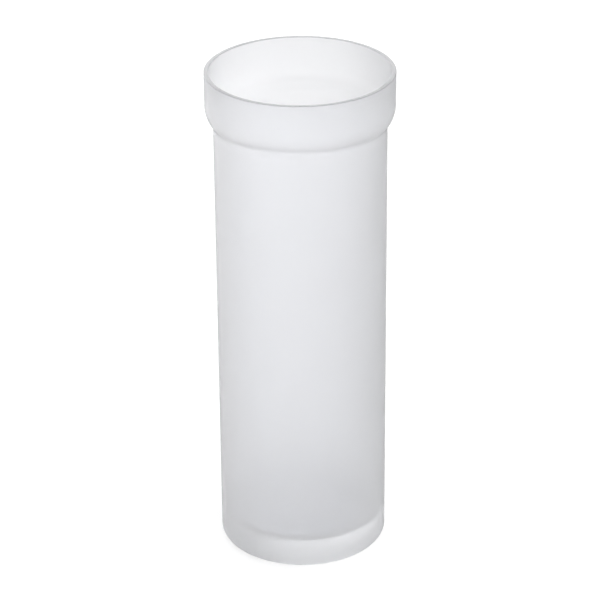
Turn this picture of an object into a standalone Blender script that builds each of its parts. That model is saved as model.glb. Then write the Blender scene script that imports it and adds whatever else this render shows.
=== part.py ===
"""A tall one-piece satin glass: straight body, stepped collar on a rounded shoulder, heavy base.

It stands on the ring under its base, and the step under its collar lets it hang in a holder's ring.
Metres, +Z up, with the origin at the centre of the plane that it stands on.
"""

from math import asin, cos, pi, sin, sqrt

import bpy

# Outside of the body and of the collar
HEIGHT = 0.240
BODY_DIAMETER = 0.080
COLLAR_OVERHANG = 0.0038
COLLAR_STRAIGHT = 0.0156
SHOULDER_RADIUS = 0.0146
NECK_FILLET = 0.0080
FOOT_FILLET = 0.0022

# Thickness of the glass, and its inside
WALL = 0.0023
BASE_THICKNESS = 0.0120
FLOOR_FILLET = 0.0060

# Ground rim, and the shallow hollow under the base that leaves a standing ring
RIM_EASE = 0.0003
STANDING_RING_WIDTH = 0.0080
HOLLOW_DEPTH = 0.0010

# Facets: sides of each round, and steps along each arc of the profile
SIDES = 72
SHOULDER_STEPS = 5
NECK_STEPS = 3
FLOOR_STEPS = 5
FOOT_STEPS = 4
EASE_STEPS = 2
HOLLOW_STEPS = 4

# Satin white glass: pale, slightly cool, lit through, with an etched surface
GLASS_COLOUR = (0.84, 0.85, 0.87, 1.0)
GLASS_ROUGHNESS = 0.45
GLASS_TRANSMISSION = 0.85
GLASS_IOR = 1.5
SMOOTH_ANGLE = pi / 6

# Points of the profile that lie closer than this are one point
MERGE_DISTANCE = 0.00001


def clear_scene():
    """Remove every object that the new scene starts with."""
    for thing in list(bpy.data.objects):
        bpy.data.objects.remove(thing, do_unlink=True)


def arc(centre_r, centre_z, radius, start, end, steps):
    """Points of an arc in the profile's plane, from one angle to the other, both ends included."""
    points = []
    for step in range(steps + 1):
        angle = start + (end - start) * step / steps
        points.append((centre_r + radius * cos(angle), centre_z + radius * sin(angle)))
    return points


def collar_and_shoulder(offset):
    """Collar wall, shoulder and neck from the rim down, at a depth of offset inside the glass."""
    body_radius = BODY_DIAMETER / 2
    shoulder_r = body_radius + COLLAR_OVERHANG - SHOULDER_RADIUS
    shoulder_z = HEIGHT - COLLAR_STRAIGHT
    # The neck's fillet touches the body's wall and the shoulder's arc, so its centre is as far
    # from the arc's centre as both radii together
    neck_r = body_radius + NECK_FILLET
    reach = SHOULDER_RADIUS + NECK_FILLET
    neck_z = shoulder_z - sqrt(reach ** 2 - (neck_r - shoulder_r) ** 2)
    lean = asin((shoulder_z - neck_z) / reach)
    shoulder = arc(shoulder_r, shoulder_z, SHOULDER_RADIUS - offset, 0, -lean, SHOULDER_STEPS)
    neck = arc(neck_r, neck_z, NECK_FILLET + offset, pi - lean, pi, NECK_STEPS)
    return shoulder + neck[1:]


def rim(outer_radius):
    """The flat ground rim from its inner edge to its outer edge, with both edges eased."""
    ease = min(RIM_EASE, WALL / 4)
    level = HEIGHT - ease
    inner = arc(outer_radius - WALL + ease, level, ease, pi, pi / 2, EASE_STEPS)
    outer = arc(outer_radius - ease, level, ease, pi / 2, 0, EASE_STEPS)
    return inner + outer


def underside(body_radius):
    """The foot's round edge, the flat standing ring, and the hollow's dome in to the axis."""
    foot = arc(body_radius - FOOT_FILLET, FOOT_FILLET, FOOT_FILLET, 0, -pi / 2, FOOT_STEPS)
    hollow_radius = body_radius - FOOT_FILLET - STANDING_RING_WIDTH
    dome_radius = (hollow_radius ** 2 + HOLLOW_DEPTH ** 2) / (2 * HOLLOW_DEPTH)
    half_angle = asin(hollow_radius / dome_radius)
    dome_z = HOLLOW_DEPTH - dome_radius
    dome = arc(0, dome_z, dome_radius, pi / 2 - half_angle, pi / 2, HOLLOW_STEPS)
    return foot + dome


def glass_profile():
    """Half section: out over the inner floor, up the inside, over the rim, down the outside, in."""
    body_radius = BODY_DIAMETER / 2
    bore_radius = body_radius - WALL
    floor = arc(bore_radius - FLOOR_FILLET, BASE_THICKNESS + FLOOR_FILLET, FLOOR_FILLET,
                -pi / 2, 0, FLOOR_STEPS)
    inside = [(0, BASE_THICKNESS)] + floor + collar_and_shoulder(WALL)[::-1]
    outside = collar_and_shoulder(0)
    return inside + rim(body_radius + COLLAR_OVERHANG) + outside + underside(body_radius)


def satin_glass():
    """Acid-etched clear glass: light passes through it and leaves it scattered."""
    material = bpy.data.materials.new("satin_glass")
    material.use_nodes = True
    shader = material.node_tree.nodes["Principled BSDF"]
    shader.inputs["Base Color"].default_value = GLASS_COLOUR
    shader.inputs["Roughness"].default_value = GLASS_ROUGHNESS
    shader.inputs["Metallic"].default_value = 0
    shader.inputs["IOR"].default_value = GLASS_IOR
    shader.inputs["Transmission Weight"].default_value = GLASS_TRANSMISSION
    return material


def glass_body():
    """The whole glass, turned from its half section about the vertical axis."""
    points = [(radius, 0, height) for radius, height in glass_profile()]
    edges = [(index, index + 1) for index in range(len(points) - 1)]
    mesh = bpy.data.meshes.new("glass_body")
    mesh.from_pydata(points, edges, [])
    mesh.materials.append(satin_glass())
    glass = bpy.data.objects.new("glass_body", mesh)
    bpy.context.scene.collection.objects.link(glass)

    turn = glass.modifiers.new("turn", "SCREW")
    turn.axis = "Z"
    turn.steps = SIDES
    turn.render_steps = SIDES
    turn.use_merge_vertices = True
    turn.merge_threshold = MERGE_DISTANCE

    depsgraph = bpy.context.evaluated_depsgraph_get()
    turned = bpy.data.meshes.new_from_object(glass.evaluated_get(depsgraph))
    glass.modifiers.clear()
    glass.data = turned
    turned.name = "glass_body"
    turned.shade_smooth()
    turned.set_sharp_from_angle(angle=SMOOTH_ANGLE)
    return glass


clear_scene()
glass_body()
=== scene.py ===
# %% [markdown]
# # A tall satin glass with a collar
#
# One piece of white frosted glass: a straight round body on a heavy base, with a wider collar on a
# rounded shoulder. The shoulder rests in the ring of a holder, and the glass also stands by itself.
# The lesson turns its section, etches it, grinds its rim, and lights it as a catalogue would.

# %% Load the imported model
from math import asin, cos, degrees, pi, radians, sin, sqrt

import bmesh
import bpy
from mathutils import Matrix, Vector


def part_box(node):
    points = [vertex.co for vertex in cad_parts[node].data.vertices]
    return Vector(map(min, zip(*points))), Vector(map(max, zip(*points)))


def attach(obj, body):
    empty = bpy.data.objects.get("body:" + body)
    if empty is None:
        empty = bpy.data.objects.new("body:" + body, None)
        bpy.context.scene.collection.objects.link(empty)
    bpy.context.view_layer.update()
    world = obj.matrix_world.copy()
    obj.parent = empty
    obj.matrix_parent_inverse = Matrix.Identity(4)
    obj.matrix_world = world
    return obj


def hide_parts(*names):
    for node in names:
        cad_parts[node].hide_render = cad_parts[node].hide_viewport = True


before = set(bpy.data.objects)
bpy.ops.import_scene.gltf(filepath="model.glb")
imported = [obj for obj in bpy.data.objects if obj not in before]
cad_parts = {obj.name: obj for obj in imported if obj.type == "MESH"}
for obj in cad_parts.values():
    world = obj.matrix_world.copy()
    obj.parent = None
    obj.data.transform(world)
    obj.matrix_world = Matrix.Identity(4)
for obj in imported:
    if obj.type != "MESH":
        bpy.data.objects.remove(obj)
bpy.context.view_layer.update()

MM = 0.001
print("packed parts:", sorted(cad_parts))

# %% [markdown]
# ## The sizes of the glass
#
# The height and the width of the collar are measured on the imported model, so that the finer shape
# can't grow away from it. The rest are the sizes a maker would put on the drawing. The body is one
# even wall of 2.3 mm. Glass that has been drawn or pressed keeps its wall round a bend, so the
# inside follows the outside all the way up to the rim.

# %% Name the sizes
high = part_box("glass_body")[1]
height = high.z
collar_radius = high.x
collar_overhang = 3.8 * MM
collar_straight = 15.6 * MM
shoulder_radius = 14.6 * MM
neck_fillet = 8.0 * MM
foot_fillet = 2.2 * MM
wall = 2.3 * MM
base_thickness = 12.0 * MM
floor_fillet = 6.0 * MM
rim_ease = 0.3 * MM
standing_ring = 8.0 * MM
hollow_depth = 1.0 * MM

body_radius = collar_radius - collar_overhang
bore_radius = body_radius - wall
print("body", round(2 * body_radius / MM, 2), "mm across, bore", round(2 * bore_radius / MM, 2), "mm")

# %% [markdown]
# ## The shoulder
#
# Under the collar the outside curves in like a bowl and meets the body in a small round neck. The
# neck's centre lies outside the wall, one fillet away from it. It also lies as far from the
# shoulder's centre as both radii together, because the two curves touch. Pythagoras gives its
# height, and the angle between the two centres is where one curve hands over to the other.

# %% Find the centres of the shoulder and the neck
shoulder_r = collar_radius - shoulder_radius
shoulder_z = height - collar_straight
neck_r = body_radius + neck_fillet
reach = shoulder_radius + neck_fillet
neck_z = shoulder_z - sqrt(reach ** 2 - (neck_r - shoulder_r) ** 2)
lean = degrees(asin((shoulder_z - neck_z) / reach))
print("neck at", round(neck_z / MM, 1), "mm, the curves meet", round(lean, 1), "degrees below level")

# %% [markdown]
# ## A pen for the half section
#
# A turned shape needs only half of its section, as one line. A bmesh can draw that line the way a
# hand does: start at a point, pull a straight stroke, swing an arc about a centre. The stroke is the
# extrude operator on one vertex. The arc is the spin operator, here about an axis that runs across
# the section. Both give back the new end of the line, and the next stroke starts there.

# %% Make the pen
def stroke(shape, tip, r, z):
    """A straight line from the tip of the pen to radius r and height z."""
    new_tip = bmesh.ops.extrude_vert_indiv(shape, verts=[tip])["verts"][0]
    new_tip.co = (r, 0, z)
    return new_tip


def swing(shape, tip, r, z, angle, steps):
    """An arc of the tip about the centre (r, z). A positive angle in degrees turns from up to out."""
    turned = bmesh.ops.spin(shape, geom=[tip], cent=(r, 0, z), axis=(0, 1, 0), angle=radians(angle),
                            steps=steps, use_merge=False, use_duplicate=False)
    return [part for part in turned["geom_last"] if isinstance(part, bmesh.types.BMVert)][0]


# %% [markdown]
# ## The inside
#
# The line starts on the axis, runs over the inner floor and goes up the inside. The floor meets the
# wall in a wide curve, because thick glass never fills a sharp corner. The base below it is a solid
# slug of glass, and that shows as a paler band at the foot. In the neck and the shoulder the inside
# turns about the same two centres as the outside, one wall nearer to the axis.

# %% Draw the inside
floor_steps, inner_neck_steps, inner_shoulder_steps = 14, 10, 14
glass = bmesh.new()
tip = glass.verts.new((0, 0, base_thickness))
tip = stroke(glass, tip, bore_radius - floor_fillet, base_thickness)
tip = swing(glass, tip, bore_radius - floor_fillet, base_thickness + floor_fillet, -90, floor_steps)
tip = stroke(glass, tip, bore_radius, neck_z)
tip = swing(glass, tip, neck_r, neck_z, lean, inner_neck_steps)
tip = swing(glass, tip, shoulder_r, shoulder_z, -lean, inner_shoulder_steps)
tip = stroke(glass, tip, collar_radius - wall, height - rim_ease)
print("inside drawn with", len(glass.verts), "points")

# %% [markdown]
# ## The rim
#
# The rim is where the glass was cut off and ground flat, with both of its edges just taken off.
# The eased edges are only 0.3 mm, but they catch the light as a fine line all the way round.

# %% Draw the rim
ease_steps = 4
rim_level = height - rim_ease
tip = swing(glass, tip, collar_radius - wall + rim_ease, rim_level, 90, ease_steps)
tip = stroke(glass, tip, collar_radius - rim_ease, height)
tip = swing(glass, tip, collar_radius - rim_ease, rim_level, 90, ease_steps)
print("rim", round((wall - 2 * rim_ease) / MM, 2), "mm of flat between its eased edges")

# %% [markdown]
# ## The outside and the underside
#
# Down the outside the same arcs turn the other way, and the foot is rounded a little. Underneath, a
# shallow hollow leaves a standing ring, so that the glass doesn't rock. The hollow is part of a
# large ball. Its radius follows from how wide and how deep the hollow is.

# %% Draw the outside and the underside
shoulder_steps, neck_steps, foot_steps, hollow_steps = 16, 8, 8, 10
hollow_radius = body_radius - foot_fillet - standing_ring
ball_radius = (hollow_radius ** 2 + hollow_depth ** 2) / (2 * hollow_depth)
half_width = degrees(asin(hollow_radius / ball_radius))
tip = stroke(glass, tip, collar_radius, shoulder_z)
tip = swing(glass, tip, shoulder_r, shoulder_z, lean, shoulder_steps)
tip = swing(glass, tip, neck_r, neck_z, -lean, neck_steps)
tip = stroke(glass, tip, body_radius, foot_fillet)
tip = swing(glass, tip, body_radius - foot_fillet, foot_fillet, 90, foot_steps)
tip = stroke(glass, tip, hollow_radius, 0)
tip = swing(glass, tip, 0, hollow_depth - ball_radius, -half_width, hollow_steps)
print("section drawn with", len(glass.verts), "points, ending at", [round(c / MM, 2) for c in tip.co])

# %% [markdown]
# ## Turning it
#
# A full spin about the upright axis turns the line into a closed shape, as a lathe would. The two
# ends of the line lie on the axis, so they make many points in one place there. Merging the doubles
# closes both poles. After that the normals are worked out again, because a spin can leave a shape
# inside out, and glass bends light the wrong way when it is.

# %% Turn the section
sides = 240
merge_gap = 0.002 * MM
bmesh.ops.spin(glass, geom=glass.verts[:] + glass.edges[:], cent=(0, 0, 0), axis=(0, 0, 1),
               angle=2 * pi, steps=sides, use_merge=True, use_duplicate=False)
bmesh.ops.remove_doubles(glass, verts=glass.verts[:], dist=merge_gap)
bmesh.ops.recalc_face_normals(glass, faces=glass.faces[:])
open_edges = [edge for edge in glass.edges if not edge.is_manifold]
cubic_cm = glass.calc_volume() / (10 * MM) ** 3
print(len(glass.faces), "faces,", len(open_edges), "open edges,", round(cubic_cm, 1), "cubic cm of glass")

# %% [markdown]
# ## The same order each time
#
# A spin makes the same faces on every run, but it leaves them in an order that changes. No eye can
# tell, yet two exports of the same glass would be different files. The points do keep their order.
# So each face is ranked by the numbers of its points, and sort, without a key, goes by that rank.

# %% Put the faces in order
glass.verts.index_update()
ranked = sorted(glass.faces, key=lambda face: sorted(vert.index for vert in face.verts))
for rank, face in enumerate(ranked):
    face.index = rank
glass.faces.sort()
print(len(ranked), "faces put in the order of their points")

# %% [markdown]
# ## Three surfaces
#
# The glass has three finishes, so its faces are sorted into three material slots by the way they
# face and by their height. The rim is the flat and the upper half of its eased edges. The inside is
# what faces the axis, or faces up, from the inner floor upward. All the rest is the outside. A
# face's normal has length 1, so its share along a direction says how squarely it faces that way.

# %% Sort the faces and make the piece
OUTSIDE, INSIDE, RIM = 0, 1, 2
upward_share, outward_share = 0.7, 0.5
sharp_angle = radians(35)
for face in glass.faces:
    face.smooth = True
    centre = face.calc_center_median()
    outward = face.normal.dot(Vector((centre.x, centre.y, 0)).normalized())
    if centre.z > rim_level and face.normal.z > upward_share:
        face.material_index = RIM
    elif centre.z > base_thickness - rim_ease and outward < outward_share:
        face.material_index = INSIDE
    else:
        face.material_index = OUTSIDE
counts = [sum(face.material_index == slot for face in glass.faces) for slot in (OUTSIDE, INSIDE, RIM)]
mesh = bpy.data.meshes.new("satin_tumbler")
glass.to_mesh(mesh)
glass.free()
mesh.set_sharp_from_angle(angle=sharp_angle)
tumbler = bpy.data.objects.new("satin_tumbler", mesh)
bpy.context.scene.collection.objects.link(tumbler)
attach(tumbler, "root")
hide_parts("glass_body")
print("faces outside, inside and on the rim:", counts)

# %% [markdown]
# ## Colours and nodes
#
# Colours are written as they look on a screen, and one function turns them into the linear values
# that a renderer works with. Another adds one node with its settings and its links, so that a
# material reads from top to bottom like a recipe.

# %% Make the two helpers
def linear(colour):
    """The linear colour of a hex colour such as #F0F0F0."""
    parts = [int(colour[place:place + 2], 16) / 255 for place in (1, 3, 5)]
    return [c / 12.92 if c <= 0.04045 else ((c + 0.055) / 1.055) ** 2.4 for c in parts] + [1]


def add(tree, kind, links=(), **settings):
    """One node of a kind. Settings are its own properties or, with their names in `sockets`, inputs."""
    node = tree.nodes.new(kind)
    for name, value in settings.pop("sockets", {}).items():
        node.inputs[name].default_value = value
    for name, value in settings.items():
        setattr(node, name, value)
    for socket, source in dict(links).items():
        tree.links.new(source, node.inputs[socket])
    return node


print("mid grey #808080 is", round(linear("#808080")[0], 3), "in linear light")

# %% [markdown]
# ## Satin glass
#
# Clear soda-lime glass, IOR 1.5, dipped in acid. Light passes through and leaves each etched surface
# scattered, so the glass looks white and soft and nothing behind it keeps an edge. That is one
# shader: full transmission, with a roughness that says how deep the acid bit. It bites unevenly. A
# fine grain roughens the normals, and slow clouds shift the roughness and the tint a little. The real
# grain is about 0.05 mm, too fine to show, so it is drawn 0.6 mm wide.
#
# The outside is fully etched. The inside is only lightly etched, because the acid is soon spent in
# there. So the far wall of the mouth stays bright up to the rim, and the shoulder shows in it as a
# soft grey ring.

# %% Etch the glass
glass_ior = 1.5
cloud_width, grain_width = 22 * MM, 0.6 * MM
pit_depth = 0.02 * MM


def etched_glass(name, finest, coarsest):
    """Clear glass with an etched surface, between a finest and a coarsest roughness."""
    material = bpy.data.materials.new(name)
    material.use_nodes = True
    tree = material.node_tree
    shader = tree.nodes["Principled BSDF"]
    shader.inputs["IOR"].default_value = glass_ior
    shader.inputs["Transmission Weight"].default_value = 1.0
    place = add(tree, "ShaderNodeTexCoord").outputs["Object"]
    clouds = add(tree, "ShaderNodeTexNoise", {"Vector": place},
                 sockets={"Scale": 1 / cloud_width, "Detail": 2.0, "Roughness": 0.5})
    grain = add(tree, "ShaderNodeTexNoise", {"Vector": place},
                sockets={"Scale": 1 / grain_width, "Detail": 2.0, "Roughness": 0.6})
    etch = add(tree, "ShaderNodeMapRange", {"Value": clouds.outputs["Fac"]},
               sockets={"From Min": 0.3, "From Max": 0.7, "To Min": finest, "To Max": coarsest})
    tint = add(tree, "ShaderNodeMix", {"Factor": clouds.outputs["Fac"]}, data_type="RGBA")
    tint.inputs["A"].default_value = linear("#FAFBFD")
    tint.inputs["B"].default_value = linear("#FBFBFD")
    bump = add(tree, "ShaderNodeBump", {"Height": grain.outputs["Fac"]},
               sockets={"Strength": 0.15, "Distance": pit_depth})
    tree.links.new(tint.outputs["Result"], shader.inputs["Base Color"])
    tree.links.new(etch.outputs["Result"], shader.inputs["Roughness"])
    tree.links.new(bump.outputs["Normal"], shader.inputs["Normal"])
    return material


satin_outside = etched_glass("acid_etched_satin_glass", finest=0.50, coarsest=0.54)
satin_inside = etched_glass("lightly_etched_glass", finest=0.28, coarsest=0.32)
mesh.materials.append(satin_outside)
mesh.materials.append(satin_inside)
print([material.name for material in mesh.materials])

# %% [markdown]
# ## Ground glass
#
# The rim was ground flat on a wheel and only lightly etched after that. It is about as smooth as
# the inside, with the wheel's fine scratches in place of the grain. Its colour is painted a shade
# greyer than the walls: painted shade for the light that enters there and runs down inside the glass.

# %% Grind the rim
scratch_width = 0.8 * MM
rim = bpy.data.materials.new("ground_glass_rim")
rim.use_nodes = True
tree = rim.node_tree
shader = tree.nodes["Principled BSDF"]
shader.inputs["IOR"].default_value = glass_ior
shader.inputs["Transmission Weight"].default_value = 1.0
place = add(tree, "ShaderNodeTexCoord").outputs["Object"]
scratches = add(tree, "ShaderNodeTexNoise", {"Vector": place},
                sockets={"Scale": 1 / scratch_width, "Detail": 3.0, "Roughness": 0.6})
polish = add(tree, "ShaderNodeMapRange", {"Value": scratches.outputs["Fac"]},
             sockets={"To Min": 0.26, "To Max": 0.36})
# The grey level of the rim's colour is painted shade; its small change with the scratches is the rim's
# own random tone.
painted_rim_shade = add(tree, "ShaderNodeMix", {"Factor": scratches.outputs["Fac"]}, data_type="RGBA")
painted_rim_shade.inputs["A"].default_value = linear("#B9BABD")
painted_rim_shade.inputs["B"].default_value = linear("#BFC0C3")
bump = add(tree, "ShaderNodeBump", {"Height": scratches.outputs["Fac"]},
           sockets={"Strength": 0.2, "Distance": pit_depth})
tree.links.new(painted_rim_shade.outputs["Result"], shader.inputs["Base Color"])
tree.links.new(polish.outputs["Result"], shader.inputs["Roughness"])
tree.links.new(bump.outputs["Normal"], shader.inputs["Normal"])
mesh.materials.append(rim)
print(rim.name, "with", len(tree.nodes), "nodes")

# %% [markdown]
# ## The table
#
# A matt white board, lit by the lamps like anything else, so it keeps the soft shadow of the glass.
# It is a bmesh circle with a filled cap, so large that its edge is never near.

# %% Lay the table
board_radius, board_sides = 6.0, 128
board = bmesh.new()
bmesh.ops.create_circle(board, cap_ends=True, radius=board_radius, segments=board_sides)
floor_mesh = bpy.data.meshes.new("white_board")
board.to_mesh(floor_mesh)
board.free()
floor = bpy.data.objects.new("white_board", floor_mesh)
bpy.context.scene.collection.objects.link(floor)
paper = bpy.data.materials.new("matt_white_board")
paper.use_nodes = True
tree = paper.node_tree
shader = tree.nodes["Principled BSDF"]
shader.inputs["Base Color"].default_value = linear("#CCCCCC")
shader.inputs["Roughness"].default_value = 1.0
shader.inputs["Specular IOR Level"].default_value = 0.0
shader.inputs["Emission Color"].default_value = linear("#FFFFFF")
floor_mesh.materials.append(paper)
print("table radius", board_radius, "m")

# %% [markdown]
# ## The table's own glow
#
# Seen by the camera the board glows a little of its own, and that makes the background white without
# any more light on the glass. The glow grows outward, because the lamps light only the middle.
#
# Seen in the glass and through it, the board glows too, with painted light that is stronger on the
# left than on the right, as if a window stood on the left, though no lamp stands there. Frosted glass
# takes on the light of all that lies behind it, so this painted slope is what shades the body from
# left to right. A dot product with a direction measures how far a point of the board lies that way,
# in metres from the glass.

# %% Let the table glow
near_glow, far_glow = 0.5, 1.0
glow_grows_from, glow_is_full_at = 0.5, 1.5
painted_glow_way = radians(195)
painted_glow_right, painted_glow_left = 0.13, 0.72
painted_glow_right_end, painted_glow_left_end = -0.3, 0.5

rays = add(tree, "ShaderNodeLightPath")
place = add(tree, "ShaderNodeTexCoord").outputs["Object"]
away = add(tree, "ShaderNodeVectorMath", {0: place}, operation="LENGTH")
beyond_lamps = add(tree, "ShaderNodeMapRange", {"Value": away.outputs["Value"]},
                   sockets={"From Min": glow_grows_from, "From Max": glow_is_full_at,
                            "To Min": near_glow, "To Max": far_glow})
camera_glow = add(tree, "ShaderNodeMath", {0: rays.outputs["Is Camera Ray"],
                                           1: beyond_lamps.outputs["Result"]}, operation="MULTIPLY")
in_glass = add(tree, "ShaderNodeMath", {0: rays.outputs["Is Glossy Ray"],
                                        1: rays.outputs["Is Transmission Ray"]}, operation="MAXIMUM")
# Painted light: the board's glow seen in the glass rises smoothly towards the left.
toward = add(tree, "ShaderNodeVectorMath", {0: place}, operation="DOT_PRODUCT")
toward.inputs[1].default_value = (cos(painted_glow_way), sin(painted_glow_way), 0)
shade = add(tree, "ShaderNodeMapRange", {"Value": toward.outputs["Value"]},
            interpolation_type="SMOOTHSTEP",
            sockets={"From Min": painted_glow_right_end, "From Max": painted_glow_left_end,
                     "To Min": painted_glow_right, "To Max": painted_glow_left})
painted_glow_in_glass = add(tree, "ShaderNodeMath", {0: in_glass.outputs["Value"], 1: shade.outputs["Result"]},
                 operation="MULTIPLY")
glow = add(tree, "ShaderNodeMath", {0: camera_glow.outputs["Value"], 1: painted_glow_in_glass.outputs["Value"]},
           operation="ADD")
tree.links.new(glow.outputs["Value"], shader.inputs["Emission Strength"])
print("in the glass the board glows from", painted_glow_right, "on the right to", painted_glow_left, "on the left")

# %% [markdown]
# ## The room
#
# The studio round the table is almost dark, so that the softboxes and the table alone shape the
# glass. Seen by the camera it is plain white.

# %% Darken the room
room_level = 0.05
room = bpy.data.worlds.new("dark_studio")
bpy.context.scene.world = room
room.use_nodes = True
tree = room.node_tree
rays = add(tree, "ShaderNodeLightPath")
level = add(tree, "ShaderNodeMapRange", {"Value": rays.outputs["Is Camera Ray"]},
            sockets={"To Min": room_level, "To Max": 1.0})
tree.links.new(level.outputs["Result"], tree.nodes["Background"].inputs["Strength"])
tree.nodes["Background"].inputs["Color"].default_value = linear("#FFFFFF")
print("room level", room_level)

# %% [markdown]
# ## The lamps
#
# Softboxes stand round the table and face the middle of the glass. Each is placed by its direction
# and its distance, which is how a photographer would walk round and set it. Most of them stand side
# by side in a bank, because frosted glass blurs a wide light into slow shading, while a small one
# leaves a spot. The boxes at the back shine through the glass, the low ones in front light its
# face, and together they show a matt colour about as it is written.

# %% Hang the softboxes
middle = Vector((0, 0, height / 2))
lamp_distance = 1.5
top_side, box_width = 1.6, 0.75


def softbox(name, azimuth, elevation, width, tall, level):
    """A softbox that faces the glass. Azimuth 0 is on the right, 90 behind. Level is its radiance."""
    a, e = radians(azimuth), radians(elevation)
    way = Vector((cos(a) * cos(e), sin(a) * cos(e), sin(e)))
    lamp = bpy.data.lights.new(name, "AREA")
    lamp.shape = "RECTANGLE"
    lamp.size, lamp.size_y = width, tall
    lamp.energy = level * pi * width * tall
    box = bpy.data.objects.new(name, lamp)
    bpy.context.scene.collection.objects.link(box)
    box.location = middle + way * lamp_distance
    box.rotation_mode = "QUATERNION"
    box.rotation_quaternion = way.to_track_quat("Z", "Y")
    box.visible_camera = False
    print(name, "at", [round(c, 2) for c in box.location], "m")


def bank(name, azimuths, elevation, tall, level):
    """A row of equal softboxes, side by side on an arc round the table."""
    for azimuth in azimuths:
        softbox(f"{name}_{azimuth}", azimuth, elevation, box_width, tall, level)


softbox("softbox_top", azimuth=90, elevation=88, width=top_side, tall=top_side, level=1.28)
bank("softbox_back", azimuths=(90, 120), elevation=20, tall=1.15, level=2.57)
bank("softbox_left", azimuths=(150,), elevation=20, tall=1.15, level=0.86)
bank("softbox_right", azimuths=(330, 0, 30), elevation=20, tall=1.15, level=1.52)
bank("softbox_high", azimuths=(240, 270, 300), elevation=58, tall=0.6, level=1.31)
bank("softbox_front", azimuths=(210, 240, 270, 300, 330, 0), elevation=8, tall=0.45, level=2.55)

# %% [markdown]
# ## The camera
#
# The picture was taken from a little above, with a long lens: the rim is an open ellipse and the
# walls run almost parallel. The lens and the place come from the ellipses of the rim and the base
# and from the slight taper of the sides. The camera looks down by 27 degrees and is tipped by less
# than half a degree. It aims at about the middle of the glass, so two shares of its distance say how
# far the centre of the base lies to the right of that aim, and how far below.

# %% Place the camera
picture_width, focal_pixels = 600, 2613.44
film_width = 36
pitch, roll = 0.4654, 0.0080
distance_in_radii = 32.3097
across_share, below_share = 0.0013, 0.0853
nearest = 10 * MM

distance = distance_in_radii * body_radius
ahead = Vector((0, cos(pitch), -sin(pitch)))
across = Vector((1, 0, 0))
down = ahead.cross(across)
right = cos(roll) * across + sin(roll) * down
below = -sin(roll) * across + cos(roll) * down
lens = bpy.data.cameras.new("camera")
lens.sensor_width = film_width
lens.lens = focal_pixels * film_width / picture_width
lens.clip_start = nearest
camera = bpy.data.objects.new("camera", lens)
bpy.context.scene.collection.objects.link(camera)
turn = Matrix((right, -below, -ahead)).transposed().to_4x4()
turn.translation = -(right * across_share + below * below_share + ahead) * distance
camera.matrix_world = turn
bpy.context.scene.camera = camera
print("camera", round(turn.translation.length, 2), "m away, lens", round(lens.lens, 1), "mm")

# %% [markdown]
# ## The picture's colours
#
# The plain view transform shows each colour as it is written.

# %% Finish
bpy.context.scene.view_settings.view_transform = "Standard"
